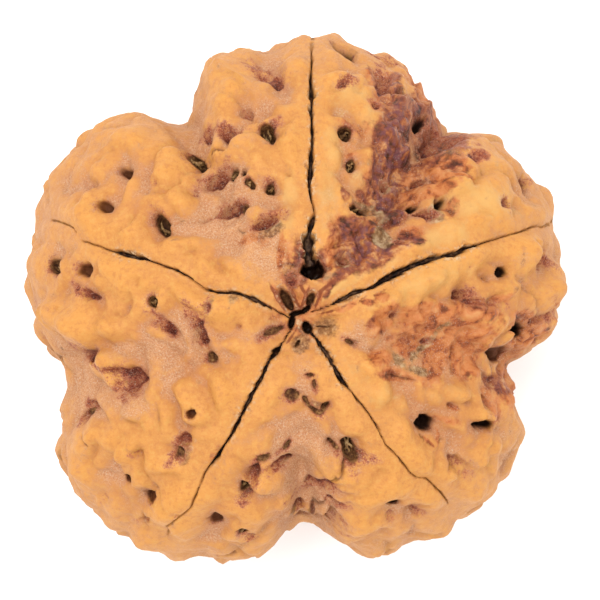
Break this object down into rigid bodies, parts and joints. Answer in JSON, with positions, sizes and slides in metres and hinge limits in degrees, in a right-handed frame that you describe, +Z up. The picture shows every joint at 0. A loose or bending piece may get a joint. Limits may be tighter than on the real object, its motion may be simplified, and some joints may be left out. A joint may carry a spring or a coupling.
{
  "type": "rudraksha seed",
  "caption": "Dry stone of a fruit: a squat ball of five lobes, a fissure along each crest from end to end, pitted and knobbly all over, lying on one worn end.",
  "frame": {"origin": "centre of the seed's box on the surface it rests on", "axes": "+Z up along the seed's own axis, out of the face where the fissures meet; +Y towards the lobe that the longest fissure runs over"},
  "size_m": [0.0218, 0.0214, 0.0167],
  "materials": {
    "dry_shell": "matte to satin, waxy woody shell, orange-tan, with dark fibrous fissures and pits"
  },
  "bodies": {
    "root": {"rudraksha_seed": "dry_shell"}
  },
  "joints": []
}
